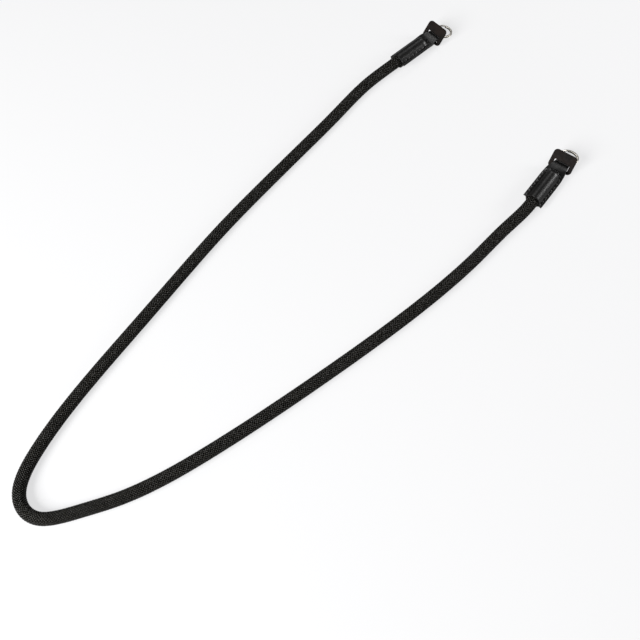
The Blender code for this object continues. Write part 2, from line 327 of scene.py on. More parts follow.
def finish_piece(item: Object, material: Material, node: str | None = None) -> Object:
    """Dress a piece and tell the frame what it is.

    Args:
        item: The piece.
        material: Its material.
        node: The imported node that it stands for, if any.

    Returns:
        The piece.
    """
    item.data.materials.append(material)
    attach(item, BODY)
    if node is not None:
        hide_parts(node)
    item.data.calc_loop_triangles()
    LOG.info("%s: %d triangles", item.name, len(item.data.loop_triangles))
    return item


# ---- finishes
@dataclass(frozen=True)
class Finish:
    """What all finishes share: a name, and a Principled shader that their nodes feed."""

    name: str

    def material(self) -> Material:
        """Build the finish's material.

        Returns:
            The material.
        """
        material = bpy.data.materials.new(self.name)
        material.use_nodes = True
        tree = material.node_tree
        set_inputs(tree, tree.nodes["Principled BSDF"], self.surface(tree))
        return material

    def surface(self, tree: NodeTree) -> Inputs:
        """Add the finish's nodes to a tree and return what goes into the shader's inputs."""
        raise NotImplementedError


@dataclass(frozen=True)
class BraidYarn(Finish):
    """Spun-dyed nylon multifilament yarn, braided round the core.

    The filaments of each yarn lie side by side in loose strands, so the gloss is drawn out along
    them. Each float's colour carries painted shade, darker down its flanks and at its diving ends.
    """

    name: str = "braided_nylon_yarn"
    crown: str = "#35332d"
    # painted shade: the colour of each float's flanks and diving ends, between the yarns
    hollow_shade: str = "#020202"
    strand: float = 0.30 * MM  # across a bundle of filaments, as single ones are too fine to show
    strand_length: float = 2.10 * MM
    strand_relief: float = 0.10 * MM
    roughness: float = 0.30
    gloss: float = 0.25
    combed: float = 1.0  # how far the filaments draw the gloss out

    def surface(self, tree: NodeTree) -> Inputs:
        """Read the UV map, in metres along and across a yarn, each yarn's tone and its painted
        shade.

        Args:
            tree: The material's node tree.

        Returns:
            What goes into the shader's inputs.
        """
        uv = add_node(tree, "UVMap", {}, uv_map="yarn")
        scale = (per_metre(self.strand_length), per_metre(self.strand), 1.0)
        drawn_out = add_node(tree, "Mapping", {"Vector": uv, "Scale": scale})
        strands = add_node(tree, "TexNoise", {"Vector": drawn_out, "Scale": 1.0, "Detail": 2.0})
        streaks = add_node(
            tree,
            "MapRange",
            {"Value": strands, "From Min": 0.35, "From Max": 0.65, "To Min": 0.80, "To Max": 1.05},
        )
        level = streaks
        for label in ("tone", "crown"):
            factor = add_node(tree, "Attribute", {}, "Fac", attribute_name=label)
            level = add_node(tree, "Math", {0: level, 1: factor}, operation="MULTIPLY")
        # painted shade: the crown attribute turns each float dark down its flanks and at its ends
        stops = ((0.55, self.hollow_shade), (0.95, self.crown))
        bump = {"Height": strands, "Distance": self.strand_relief, "Strength": 0.7}
        return {
            "Base Color": add_node(tree, "ValToRGB", {"Fac": level}, stops=stops),
            "Roughness": self.roughness,
            "Specular IOR Level": self.gloss,
            "Anisotropic": self.combed,
            "Tangent": add_node(tree, "Tangent", {}, direction_type="UV_MAP", uv_map="yarn"),
            "Normal": add_node(tree, "Bump", bump),
        }


@dataclass(frozen=True)
class RopeCore(Finish):
    """The inner nylon yarns of the rope, painted near-black as the shade in the gaps between the
    braided ones.
    """

    name: str = "nylon_core"
    # painted shade: near-black, well below the yarns' own colour
    color: str = "#030303"
    hollow_shade: str = "#010101"
    yarn: float = 2.0 * MM

    def surface(self, tree: NodeTree) -> Inputs:
        """Make a matt near-black, as painted shade between the yarns, with a faint unevenness of
        the yarns' size.

        Args:
            tree: The material's node tree.

        Returns:
            What goes into the shader's inputs.
        """
        place = add_node(tree, "TexCoord", {}, "Object")
        patches = add_node(tree, "TexNoise", {"Vector": place, "Scale": per_metre(self.yarn)})
        stops = ((0.3, self.hollow_shade), (0.8, self.color))
        return {
            "Base Color": add_node(tree, "ValToRGB", {"Fac": patches}, stops=stops),
            "Roughness": 0.9,
            "Specular IOR Level": 0.0,
        }


@dataclass(frozen=True)
class TannedLeather(Finish):
    """Chrome-tanned cowhide with a pigmented top finish.

    The finish is even and satin. Under it the hide keeps a fine pebbled grain with pores, which
    breaks up the gloss, and the tone drifts a little over the hide.
    """

    dark: str
    light: str
    roughness: float
    gloss: float = 0.4
    pebble: float = 0.55 * MM  # across one pebble of the grain
    pebble_relief: float = 0.05 * MM
    crease: float = 2.2 * MM
    crease_relief: float = 0.08 * MM
    drift: float = 9.0 * MM

    def surface(self, tree: NodeTree) -> Inputs:
        """Add the drift of the tone, the creases and the pebbled grain.

        Args:
            tree: The material's node tree.

        Returns:
            What goes into the shader's inputs.
        """
        place = add_node(tree, "TexCoord", {}, "Object")
        noise = {"Vector": place, "Scale": per_metre(2 * self.pebble), "Detail": 2.0}
        warp = add_node(tree, "TexNoise", noise, "Color")
        noise = {"Vector": place, "Scale": per_metre(self.drift), "Detail": 3.0}
        tone = add_node(tree, "TexNoise", noise)
        noise = {"Vector": place, "Scale": per_metre(self.crease), "Detail": 4.0, "Roughness": 0.6}
        creases = add_node(tree, "TexNoise", noise)
        reach = (0.5 * self.pebble,) * 3
        shifted = add_node(
            tree, "VectorMath", {0: warp, 1: reach, 2: place}, operation="MULTIPLY_ADD"
        )
        grain = {"Vector": shifted, "Scale": per_metre(self.pebble)}
        pebbles = add_node(tree, "TexVoronoi", grain, feature="SMOOTH_F1")
        stops = ((0.32, self.dark), (0.72, self.light))
        uneven = {"To Min": self.roughness - 0.06, "To Max": self.roughness + 0.08}
        fine = {"Height": pebbles, "Distance": self.pebble_relief, "Strength": 0.55}
        coarse = {"Height": creases, "Distance": self.crease_relief, "Strength": 0.26}
        coarse["Normal"] = add_node(tree, "Bump", fine, invert=True)
        return {
            "Base Color": add_node(tree, "ValToRGB", {"Fac": tone}, stops=stops),
            "Roughness": add_node(
                tree, "MapRange", {"Value": creases, "From Min": 0.3, "From Max": 0.7, **uneven}
            ),
            "Specular IOR Level": self.gloss,
            "Normal": add_node(tree, "Bump", coarse),
        }


@dataclass(frozen=True)
class NickelPlate(Finish):
    """Spring steel wire, rolled flat and nickel plated, with fine marks from tumbling."""

    name: str = "nickel_plate"
    color: str = "#c4bfb6"
    roughness: float = 0.24
    scratch: float = 0.25 * MM  # across one mark, drawn coarser than the real ones so that it shows
    relief: float = 0.01 * MM

    def surface(self, tree: NodeTree) -> Inputs:
        """Add the marks, which dull the gloss in places.

        Args:
            tree: The material's node tree.

        Returns:
            What goes into the shader's inputs.
        """
        place = add_node(tree, "TexCoord", {}, "Object")
        noise = {"Vector": place, "Scale": per_metre(self.scratch), "Detail": 3.0}
        marks = add_node(tree, "TexNoise", noise)
        uneven = {"To Min": self.roughness - 0.05, "To Max": self.roughness + 0.12}
        bump = {"Height": marks, "Distance": self.relief, "Strength": 0.4}
        return {
            "Base Color": linear(self.color),
            "Metallic": 1.0,
            "Roughness": add_node(
                tree, "MapRange", {"Value": marks, "From Min": 0.3, "From Max": 0.7, **uneven}
            ),
            "Normal": add_node(tree, "Bump", bump),
        }


@dataclass(frozen=True)
class WaxedThread(Finish):
    """Twisted polyester thread with a wax finish, which gives each stitch a dull gloss."""

    name: str = "waxed_thread"
    color: str = "#232120"
    # painted shade: the colour in the grooves between the plies
    hollow_shade: str = "#070707"
    twist: float = 0.35 * MM  # along the thread from one ply to the next
    lay: float = math.radians(35)  # of the plies against the thread
    relief: float = 0.08 * MM

    def surface(self, tree: NodeTree) -> Inputs:
        """Add the plies, with painted shade in their grooves, on the UV map that runs along and
        round a stitch.

        Args:
            tree: The material's node tree.

        Returns:
            What goes into the shader's inputs.
        """
        uv = add_node(tree, "UVMap", {}, uv_map="thread")
        scale = (per_metre(self.twist), per_metre(self.twist), 1.0)
        turned = {"Vector": uv, "Rotation": (0.0, 0.0, self.lay), "Scale": scale}
        wave = {"Vector": add_node(tree, "Mapping", turned), "Scale": 0.16}
        plies = add_node(tree, "TexWave", wave, "Fac")
        stops = ((0.0, self.hollow_shade), (0.7, self.color))
        bump = {"Height": plies, "Distance": self.relief, "Strength": 0.8}
        return {
            "Base Color": add_node(tree, "ValToRGB", {"Fac": plies}, stops=stops),
            "Roughness": 0.42,
            "Normal": add_node(tree, "Bump", bump),
        }


@dataclass(frozen=True)
class MattPaper(Finish):
    """Matt paper over a lit sheet that shines through it, so it looks all but white."""

    name: str = "matt_paper"
    color: str = "#898989"  # of what it scatters
    glow_color: str = "#fbfbfc"
    glow: float = 0.69  # as it is looked at
    bounce: float = 0.20  # what of the glow reaches the strap

    def surface(self, tree: NodeTree) -> Inputs:
        """Add the glow to a plain matt surface, and return what goes into the shader's inputs."""
        return {
            "Base Color": linear(self.color),
            "Roughness": 0.9,
            "Specular IOR Level": 0.0,
            "Emission Color": linear(self.glow_color),
            "Emission Strength": seen_or_cast(tree, self.glow, self.bounce),
        }


# ---- the two ends' places
@dataclass(frozen=True)
class End:
    """Where one end of the strap lies, and how its strip of leather runs.

    A place is a distance along the strip from the sleeve's mouth. At each place the strip has a
    frame whose X follows the strip, Y runs across it and Z is the leather's normal.
    """

    side: Side
    mouth: Pair
    heading: float  # of the strip, from +X
    roll: float  # of the sleeve's wings about the rope
    neck_bend: Pair = (36.4 * MM, 45.4 * MM)
    neck_drop: float = math.radians(12.8)
    twist_end: float = 41.4 * MM

    @property
    def base(self) -> Matrix:
        """The frame of the whole end, on the floor below the sleeve's mouth."""
        turn = Matrix.Rotation(self.heading, 4, "Z")
        return Matrix.Translation((*self.mouth, 0.0)) @ turn

    def frame_at(self, place: float, rolled: bool = True) -> Matrix:
        """Return the strip's frame at a place.

        Args:
            place: Distance along the strip from the mouth.
            rolled: Whether the frame turns with the wings.

        Returns:
            The frame in the model's coordinates.
        """
        start, end = self.neck_bend
        slope = self.neck_drop * min(1.0, max(0.0, (place - start) / (end - start)))
        radius = (end - start) / self.neck_drop
        beyond = max(0.0, place - end)
        x = min(place, start) + radius * math.sin(slope) + beyond * math.cos(slope)
        z = AXIS_HEIGHT - radius * (1 - math.cos(slope)) - beyond * math.sin(slope)
        share = (place - SLEEVE_STRAIGHT) / (self.twist_end - SLEEVE_STRAIGHT)
        twist = self.roll * (1 - ease(share)) if rolled else 0.0
        bend = Matrix.Translation((x, 0, z)) @ Matrix.Rotation(slope, 4, "Y")
        return self.base @ bend @ Matrix.Rotation(twist, 4, "X")


ENDS = (
    End(Side.LEFT, (-91.8 * MM, -31.3 * MM), math.radians(97.1), math.radians(-12.0)),
    End(Side.RIGHT, (100.4 * MM, -31.3 * MM), math.radians(109.0), math.radians(18.0)),
)


# ---- the rope
class RopeLine:
    """The rope's middle line, with a frame at every place along it."""

    points_count = 1600
    settling = 60.0 * MM  # over which the rope comes down to the floor
    straight = 8.0 * MM  # that leaves each sleeve before the rope bends

    def __init__(self, ends: Sequence[End]) -> None:
        """Work out the line.

        Args:
            ends: The left end, then the right one.
        """
        self.points = self._smooth(self._route(ends))
        self._settle()
        steps = np.linalg.norm(np.diff(self.points, axis=0), axis=1)
        self.places = np.concatenate(([0.0], np.cumsum(steps)))
        self.length = float(self.places[-1])
        along = np.gradient(self.points, self.places, axis=0)
        self.along = along / np.linalg.norm(along, axis=1)[:, None]
        across = np.cross(self.along, (0.0, 0.0, 1.0))
        self.across = across / np.linalg.norm(across, axis=1)[:, None]

    def _route(self, ends: Sequence[End]) -> np.ndarray:
        """Return the points that the line passes through, seen from above.

        Args:
            ends: The left end, then the right one.

        Returns:
            One row of x, y, z for each point.
        """
        depths = (ROPE_DEPTH, 0.35 * ROPE_DEPTH, -self.straight)
        left, right = ([list(end.base @ Vector((x, 0.0, 0.0))) for x in depths] for end in ends)
        middle = [[x * MM, y * MM, 0.0] for x, y in ROUTE_MM]
        return np.array(left + middle + right[::-1])

    def _smooth(self, route: np.ndarray) -> np.ndarray:
        """Return close points on the natural cubic spline through a route.

        Args:
            route: The points that the spline passes through.

        Returns:
            The spline's points, evenly spaced along the route.
        """
        spans = np.linalg.norm(np.diff(route, axis=0), axis=1)
        slopes = np.diff(route, axis=0) / spans[:, None]
        system = np.eye(len(route))
        bends = np.zeros_like(route)
        for i in range(1, len(route) - 1):
            system[i, i - 1 : i + 2] = spans[i - 1], 2 * (spans[i - 1] + spans[i]), spans[i]
            bends[i] = 6 * (slopes[i] - slopes[i - 1])
        bends = np.linalg.solve(system, bends)
        places = np.concatenate(([0.0], np.cumsum(spans)))
        targets = np.linspace(0, places[-1], self.points_count)
        index = np.clip(np.searchsorted(places, targets, side="right") - 1, 0, len(spans) - 1)
        a = (places[index + 1] - targets)[:, None]
        b = (targets - places[index])[:, None]
        span = spans[index][:, None]
        curved = (bends[index] * a**3 + bends[index + 1] * b**3) / (6 * span)
        start = (route[index] / span - bends[index] * span / 6) * a
        end = (route[index + 1] / span - bends[index + 1] * span / 6) * b
        return curved + start + end

    def _settle(self) -> None:
        """Lower the line from the sleeves' height to the floor over a short way at both ends."""
        step = float(np.linalg.norm(self.points[1] - self.points[0]))
        for i, point in enumerate(self.points):
            beyond = min(i, len(self.points) - 1 - i) * step - ROPE_DEPTH
            point[2] = AXIS_HEIGHT + (ROPE_RADIUS - AXIS_HEIGHT) * ease(beyond / self.settling)

    def at(self, places: np.ndarray, angles: np.ndarray, radii: np.ndarray) -> np.ndarray:
        """Return points beside the line.

        Args:
            places: Distances along the line.
            angles: Angles round it, from its right-hand side upwards.
            radii: Distances from it.

        Returns:
            One row of x, y, z for each place.
        """
        middle = self._read(self.points, places)
        along = self._read(self.along, places)
        across = self._read(self.across, places)
        up = np.cross(across, along)
        side = np.cos(angles)[:, None] * across + np.sin(angles)[:, None] * up
        return middle + radii[:, None] * side

    def _read(self, rows: np.ndarray, places: np.ndarray) -> np.ndarray:
        """Read rows that are given at the line's points, between those points."""
        return np.stack([np.interp(places, self.places, rows[:, i]) for i in range(3)], axis=1)


@dataclass
class Rope:
    """The braided rope: a dark core tube and the yarns that show on it.

    The braid is regular, two over and two under. On the surface each yarn shows as a short float,
    and the floats stand in columns along the rope that lean left and right by turns.
    """

    line: RopeLine
    core_radius: float = 4.80 * MM
    core_sides: int = 20
    core_step: float = 3.0 * MM
    core_margin: float = 9.0 * MM  # from the line's ends to the core's, inside the sleeves
    columns: int = 26
    repeat: float = 2.02 * MM  # from one float to the next in its column
    lean: float = math.radians(47.0)  # of a float against the rope's line
    float_half: Triple = (1.22 * MM, 0.65 * MM, 0.46 * MM)
    float_sides: int = 5
    shoulders: Triple = (1.22, 1.22, 0.86)  # of a float, against those of a ball
    crown_height: float = 5.28 * MM  # of a float's top above the rope's line
    dive: float = 0.34 * MM  # by which a float's ends go under its neighbours
    yarn_margin: float = 24.0 * MM  # from the line's ends to the first floats
    twist: float = math.radians(50.0)  # of the columns from end to end
    seed: int = 11

    # How far the floats differ from one another.
    place_spread: float = 0.02  # of the repeat
    lean_spread: float = math.radians(2.0)
    swell_spread: float = 0.04
    lift_spread: float = 0.02 * MM
    tone: Pair = (0.95, 0.04)  # its mean and its spread
    tone_limits: Pair = (0.3, 1.15)
    strand_shift: float = 0.1

    def build(self, yarn: Material, core: Material) -> None:
        """Args:
            yarn: The material of the floats.
            core: The material of the tube below them.
        """
        tube, path = self._core()
        finish_piece(tube, core, "rope")
        halves = [finish_piece(self._floats(half), yarn) for half in Slant]

    def _core(self) -> tuple[Object, np.ndarray]:
        """Build the closed tube below the yarns.

        Returns:
            The tube, and the middles of its rings.
        """
        start, end = self.core_margin, self.line.length - self.core_margin
        count = int((end - start) / self.core_step) + 1
        places = np.linspace(start, end, count)
        sides = self.core_sides
        angles = np.tile(np.arange(sides) * 2 * math.pi / sides, count)
        radii = np.full(count * sides, self.core_radius)
        points = self.line.at(np.repeat(places, sides), angles, radii)
        path = self.line.at(places, np.zeros(count), np.zeros(count))
        around = [(i, (i + 1) % sides) for i in range(sides)]
        strip = [(i, sides + i, sides + j, j) for i, j in around]
        rim, first, last = (count - 1) * sides, count * sides, count * sides + 1
        faces = copied_faces(strip, sides, count - 1)
        for i, j in around:
            faces += [(first, i, j), (last, rim + j, rim + i)]
        tube = mesh_object("rope_core", np.vstack([points, path[:1], path[-1:]]), faces)
        turn_outwards(tube)
        return tube, path

    def _model_float(self) -> tuple[np.ndarray, Faces]:
        """Model one float: a spindle that runs along Z, with a flattened top towards Y.

        Returns:
            Its points as shares of its half sizes, along, across and up, and its faces.
        """
        ball = {"segments": self.float_sides, "ring_count": 4, "radius": 1.0}
        item = add_primitive("float", bpy.ops.mesh.primitive_uv_sphere_add, **ball)
        middle = (0.0, 0.0, 0.0)
        side_up = math.pi / 2 / self.float_sides
        with editing(item):
            bpy.ops.transform.rotate(value=side_up, orient_axis="Z", center_override=middle)
            # The rings between the middle one and the tips.
            select(item, Part.VERT, lambda corner: 0.3 < abs(corner.co.z) < 0.9)
            bpy.ops.transform.resize(value=self.shoulders, center_override=middle)
        points, faces = take_apart(item)
        return points[:, (2, 0, 1)], faces

    def _floats(self, slant: Slant) -> Object:
        """Lay copies of one float all along the rope, in every second column.

        Args:
            slant: Which half of the braid.

        Returns:
            All of that half's floats in one piece.
        """
        unit, unit_faces = self._model_float()
        random = np.random.default_rng(self.seed + slant.value)
        start, end = self.yarn_margin, self.line.length - self.yarn_margin
        rows = np.arange(int((end - start) / self.repeat))
        first_column = 0 if slant is Slant.RIGHTWARD else 1
        columns = np.arange(first_column, self.columns, 2)
        row, column = (grid.ravel() for grid in np.meshgrid(rows, columns, indexing="ij"))
        count = len(row)
        place = start + (row + 0.5 * first_column) * self.repeat
        place = place + random.normal(0, self.place_spread * self.repeat, count)
        angle = (column + 0.5) * 2 * math.pi / self.columns
        angle = angle + self.twist * (place - start) / (end - start)
        lean = slant.value * self.lean + random.normal(0, self.lean_spread, count)
        swell = 1 + random.normal(0, self.swell_spread, count)
        lift = random.normal(0, self.lift_spread, count)

        half_length, half_width, half_height = self.float_half
        along = unit[None, :, 0] * half_length * swell[:, None]
        aside = unit[None, :, 1] * half_width * swell[:, None]
        cos, sin = np.cos(lean)[:, None], np.sin(lean)[:, None]
        places = place[:, None] + along * cos - aside * sin
        angles = angle[:, None] + (along * sin + aside * cos) / ROPE_RADIUS
        radii = self.crown_height - half_height + unit[None, :, 2] * half_height + lift[:, None]
        radii = radii - self.dive * unit[None, :, 0] ** 2
        points = self.line.at(places.ravel(), angles.ravel(), radii.ravel())
        points[:, 2] = np.maximum(points[:, 2], 0.0)

        corners = len(unit)
        faces = copied_faces(unit_faces, corners, count)
        item = mesh_object("rope_yarns_" + slant.name.lower(), points, faces)
        tone = np.clip(random.normal(*self.tone, count), *self.tone_limits)
        # painted shade: 1 on a float's crown, less down its flanks and towards its ends, where the
        # ramp turns it dark
        crown = np.clip(0.5 + 0.5 * unit[:, 2] - 0.35 * unit[:, 0] ** 2, 0, 1)
        looks = {"tone": np.repeat(tone, corners), "crown": np.tile(crown, count)}
        for label, values in looks.items():
            attribute = item.data.attributes.new(label, "FLOAT", "POINT")
            attribute.data.foreach_set("value", values.astype(np.float32))
        shift = random.uniform(0, self.strand_shift, count)[:, None]
        flat = np.stack([(along + shift).ravel(), (aside + shift).ravel()], axis=1)
        add_uv_map(item, "yarn", flat)
        return item


# ---- the leather tabs
@dataclass
class Tab:
    """The folded strip of leather at one end: a sleeve round the rope, a neck and a loop."""

    end: End
    loop_start: float = 46.8 * MM  # where the two layers part
    loop_full: float = 48.6 * MM
    loop_tip: float = 54.95 * MM
    loop_half: float = 2.5 * MM  # half the loop's outer thickness
    flank: float = math.radians(28.0)  # where the leather leaves the rope, above the wings
    crease: float = 0.75 * MM  # how softly the swelling's foot runs out
    corner_blend: float = 1.2 * MM  # by which the outline's corners are rounded
    rows: int = 232
    columns: int = 64
    seam: float = 0.04 * MM  # between the two layers in the wings
    edge: float = 0.16 * MM
    stitch_line: float = 7.3 * MM  # from the rope's line
    stitch_start: float = 1.9 * MM  # from the mouth
    stitch_pitch: float = 4.15 * MM
    stitch_half: Triple = (1.45 * MM, 0.42 * MM, 0.34 * MM)
    stitch_dip: float = 0.38 * MM  # of its ends, into the needle's holes
    stitch_lift: float = 0.08 * MM  # of its middle above the leather's face
    hole_depth: float = 0.42 * MM
    hole_spread: float = 0.42 * MM
    groove_depth: float = 0.14 * MM
    groove_spread: float = 0.55 * MM

    # Half width of the strip along its length: place, half width, in millimetres.
    outline_mm = (
        (0.0, 9.2), (26.5, 9.2), (31.0, 9.0), (36.8, 8.4), (40.4, 7.4), (41.9, 7.0),
        (45.4, 6.6), (47.4, 6.0), (49.4, 5.8), (52.9, 5.7), (54.95, 5.1),
    )

    def build(self, leather: Material, thread: Material) -> None:
        """Build the leather and its stitches.

        Args:
            leather: The material of the strip.
            thread: The material of the stitches.
        """
        side = self.end.side.value
        finish_piece(self._leather(), leather, f"{side}_end_tab")
        finish_piece(self._stitches(), thread)

    def _half_width(self, place: float) -> float:
        """Return half the strip's width at a place, with the outline's corners rounded."""
        near = place + np.linspace(-self.corner_blend, self.corner_blend, 7)
        return float(np.mean(np.interp(near, *(np.array(self.outline_mm).T * MM))))

    def _height(self, place: float, across: float) -> float:
        """Return the leather's outer height above the strip's middle plane.

        Args:
            place: Distance along the strip from the mouth.
            across: Distance from the strip's middle line.

        Returns:
            The height.
        """
        opened = ease((place - self.loop_start) / (self.loop_full - self.loop_start))
        flat = LEATHER + self.seam + opened * (self.loop_half - LEATHER - self.seam)
        distance = math.hypot(across, max(0.0, place - SLEEVE_STRAIGHT))
        past_flank = max(0.0, distance - SLEEVE_RADIUS * math.cos(self.flank))
        swelling = math.sqrt(SLEEVE_RADIUS**2 - (distance - past_flank) ** 2)
        swelling -= past_flank / math.tan(self.flank)
        blend = max(self.crease - abs(swelling - flat), 0.0)
        return max(swelling, flat) + blend * blend / (4 * self.crease)

    @cached_property
    def stitch_points(self) -> list[Triple]:
        """The stitches' middles: place, across, and direction in the strip's plane."""
        radius = self.stitch_line
        straight = SLEEVE_STRAIGHT - self.stitch_start
        total = 2 * straight + math.pi * radius
        count = round(total / self.stitch_pitch)
        found = []
        for i in range(count):
            run = (i + 0.5) * total / count
            if run < straight:
                found.append((self.stitch_start + run, -radius, 0.0))
            elif run > total - straight:
                found.append((self.stitch_start + total - run, radius, math.pi))
            else:
                turn = (run - straight) / radius
                place = SLEEVE_STRAIGHT + radius * math.sin(turn)
                found.append((place, -radius * math.cos(turn), turn))
        return found

    @cached_property
    def holes(self) -> list[Pair]:
        """The needle's holes: place and across, one at both ends of every stitch."""
        half = self.stitch_pitch / 2
        found = []
        for place, across, turn in self.stitch_points:
            ahead, aside = half * math.cos(turn), half * math.sin(turn)
            found += [(place - ahead, across - aside), (place + ahead, across + aside)]
        return found

    def _pressed(self, place: float, across: float) -> float:
        """Return how deep the thread and the needle have pressed the outer leather in.

        Args:
            place: Distance along the strip from the mouth.
            across: Distance from the strip's middle line.

        Returns:
            The depth of the seam's groove and of the needle's holes there.
        """
        off_line = math.hypot(across, max(0.0, place - SLEEVE_STRAIGHT)) - self.stitch_line
        if abs(off_line) > 4 * self.hole_spread:
            return 0.0
        groove = self.groove_depth * math.exp(-((off_line / self.groove_spread) ** 2) / 2)
        nearest = min(math.hypot(place - x, across - y) for x, y in self.holes)
        return groove + self.hole_depth * math.exp(-((nearest / self.hole_spread) ** 2) / 2)

    def _leather(self) -> Object:
        """Fold a flat grid of leather into the tab and give it its thickness.

        Returns:
            The leather.
        """
        name = f"{self.end.side.value}_tab_leather"
        grid = {"x_subdivisions": self.rows, "y_subdivisions": self.columns, "size": 2.0}
        item = add_primitive(name, bpy.ops.mesh.primitive_grid_add, **grid)
        nose_start = self.loop_tip - self.loop_half
        total = 2 * nose_start + math.pi * self.loop_half
        pressed = []
        for corner in item.data.vertices:
            run = (corner.co.x + 1) / 2 * total
            place = min(run, nose_start, total - run)
            turn = min(max((run - nose_start) / self.loop_half, 0.0), math.pi) - math.pi / 2
            ahead = self.loop_half * math.cos(turn)
            across = corner.co.y * self._half_width(place + ahead)
            in_nose = abs(turn) < math.pi / 2
            height = self.loop_half if in_nose else self._height(place, across)
            local = Vector((ahead, across, height * math.sin(turn)))
            corner.co = self.end.frame_at(place) @ local
            pressed.append(self._pressed(place, across))
        with editing(item):
            bpy.ops.mesh.flip_normals()
        wall = {"thickness": LEATHER, "offset": -1.0, "use_even_offset": True}
        apply_modifier(item, "SOLIDIFY", **wall)
        outer = item.data.vertices[: len(pressed)]
        normals = [corner.normal.copy() for corner in outer]
        for corner, normal, depth in zip(outer, normals, pressed):
            corner.co -= normal * depth
        turn_outwards(item)
        round_edges(item, self.edge, segments=2)
        item.data.shade_smooth()
        return item

    def _stitches(self) -> Object:
        """Lay the stitches along the seam, on both faces of the tab.

        Returns:
            All of the stitches in one piece.
        """
        unit, unit_faces = self._model_stitch()
        places = []
        for place, across, turn in self.stitch_points:
            lift = self._height(place, across) + self.stitch_lift
            for face, roll in ((1, 0.0), (-1, math.pi)):
                lay = Matrix.Rotation(turn, 4, "Z") @ Matrix.Rotation(roll, 4, "X")
                middle = Matrix.Translation((0.0, across, face * lift))
                places.append(self.end.frame_at(place) @ middle @ lay)
        points = [tuple(place @ Vector(corner)) for place in places for corner in unit]
        faces = copied_faces(unit_faces, len(unit), len(places))
        item = mesh_object(f"{self.end.side.value}_tab_stitches", points, faces)
        around = np.arctan2(unit[:, 2], unit[:, 1]) * self.stitch_half[1]
        flat = np.stack([unit[:, 0], around], axis=1)
        add_uv_map(item, "thread", np.tile(flat, (len(places), 1)))
        return item

    def _model_stitch(self) -> tuple[np.ndarray, Faces]:
        """Model one stitch: a short round thread whose ends dip into the needle's holes.

        Returns:
            Its points, along X and with Z up, and its faces.
        """
        ball = {"segments": 10, "ring_count": 10, "radius": 1.0}
        item = add_primitive("stitch", bpy.ops.mesh.primitive_uv_sphere_add, **ball)
        points, faces = take_apart(item)
        across, up, along = points.T
        half_length, half_width, half_height = self.stitch_half
        full = np.sqrt(1 + along**2)
        height = up * full * half_height - self.stitch_dip * np.abs(along) ** 3
        return np.stack([along * half_length, across * full * half_width, height], axis=1), faces


# ---- the guards
@dataclass
class Guard:
    """The small pad of leather that keeps the ring off what the strap hangs from."""

    end: End
    width: float = 21.4 * MM
    length: float = 16.2 * MM
    below: float = 4.9 * MM  # of its length, the part below the neck's middle
    thickness: float = 1.8 * MM
    corner: float = 3.2 * MM
    tilt: float = math.radians(45.0)
    place: float = 44.6 * MM  # where the neck passes through, along the strip
    slot: Pair = (14.6 * MM, 5.8 * MM)
    slot_near: float = 2.6 * MM  # of the slot's length, the part before the neck's middle
    slot_corner: float = 1.2 * MM
    rim: float = 2.88 * MM  # first inset of both faces, within the corners' arcs
    edge: float = 0.35 * MM

    def build(self, leather: Material) -> None:
        """Model the pad and put it on the neck.

        Args:
            leather: The pad's material.
        """
        side = self.end.side.value
        item = add_primitive(f"{side}_guard_leather", bpy.ops.mesh.primitive_cube_add, size=1.0)
        item.data.transform(Matrix.Diagonal((self.width, self.length, self.thickness, 1.0)))
        with editing(item):
            select(item, Part.EDGE, self._stands)
            bpy.ops.mesh.bevel(offset=self.corner, segments=7, affect="EDGES")
            self._cut_slot(item)
        turn_outwards(item)
        round_edges(item, self.edge, segments=3)
        smooth_and_place(item, self._place())
        finish_piece(item, leather, f"{side}_guard")

    def _stands(self, edge: bmesh.types.BMEdge) -> bool:
        """Say whether an edge runs through the pad's thickness."""
        start, end = edge.verts
        return abs(start.co.z - end.co.z) > self.thickness / 2

    def _place(self) -> Matrix:
        """Return the pad's frame: it leans back where the neck passes through."""
        local = self.end.base.inverted() @ self.end.frame_at(self.place, False)
        return (
            self.end.base
            @ Matrix.Translation(local.translation)
            @ Matrix.Rotation(-self.tilt, 4, "Y")
            @ Matrix.Rotation(math.radians(-90), 4, "Z")
            @ Matrix.Translation((0, self.length / 2 - self.below, 0))
        )

    def _cut_slot(self, item: Object) -> None:
        """Inset both faces, shape the inner outline into the slot and bridge the two.

        Args:
            item: The pad in edit mode.
        """
        middle = self.below - self.length / 2 + self.slot[1] / 2 - self.slot_near
        pad_arc = Vector((self.width, self.length)) / 2 - Vector((1, 1)) * self.corner
        slot_arc = Vector(self.slot) / 2 - Vector((1, 1)) * self.slot_corner
        select(item, Part.FACE, lambda face: abs(face.normal.z) > 0.9)
        bpy.ops.mesh.inset(thickness=self.rim, depth=0.0)
        shape = bmesh.from_edit_mesh(item.data)
        for face in shape.faces:
            for corner in face.verts if face.select else ():
                signs = Vector((math.copysign(1, corner.co.x), math.copysign(1, corner.co.y)))
                away = (corner.co.xy - pad_arc * signs).normalized()
                corner.co.xy = slot_arc * signs + away * self.slot_corner
                corner.co.y += middle
        bmesh.update_edit_mesh(item.data)
        bpy.ops.mesh.delete(type="FACE")
        select(item, Part.EDGE, lambda edge: edge.is_boundary)
        bpy.ops.mesh.bridge_edge_loops()


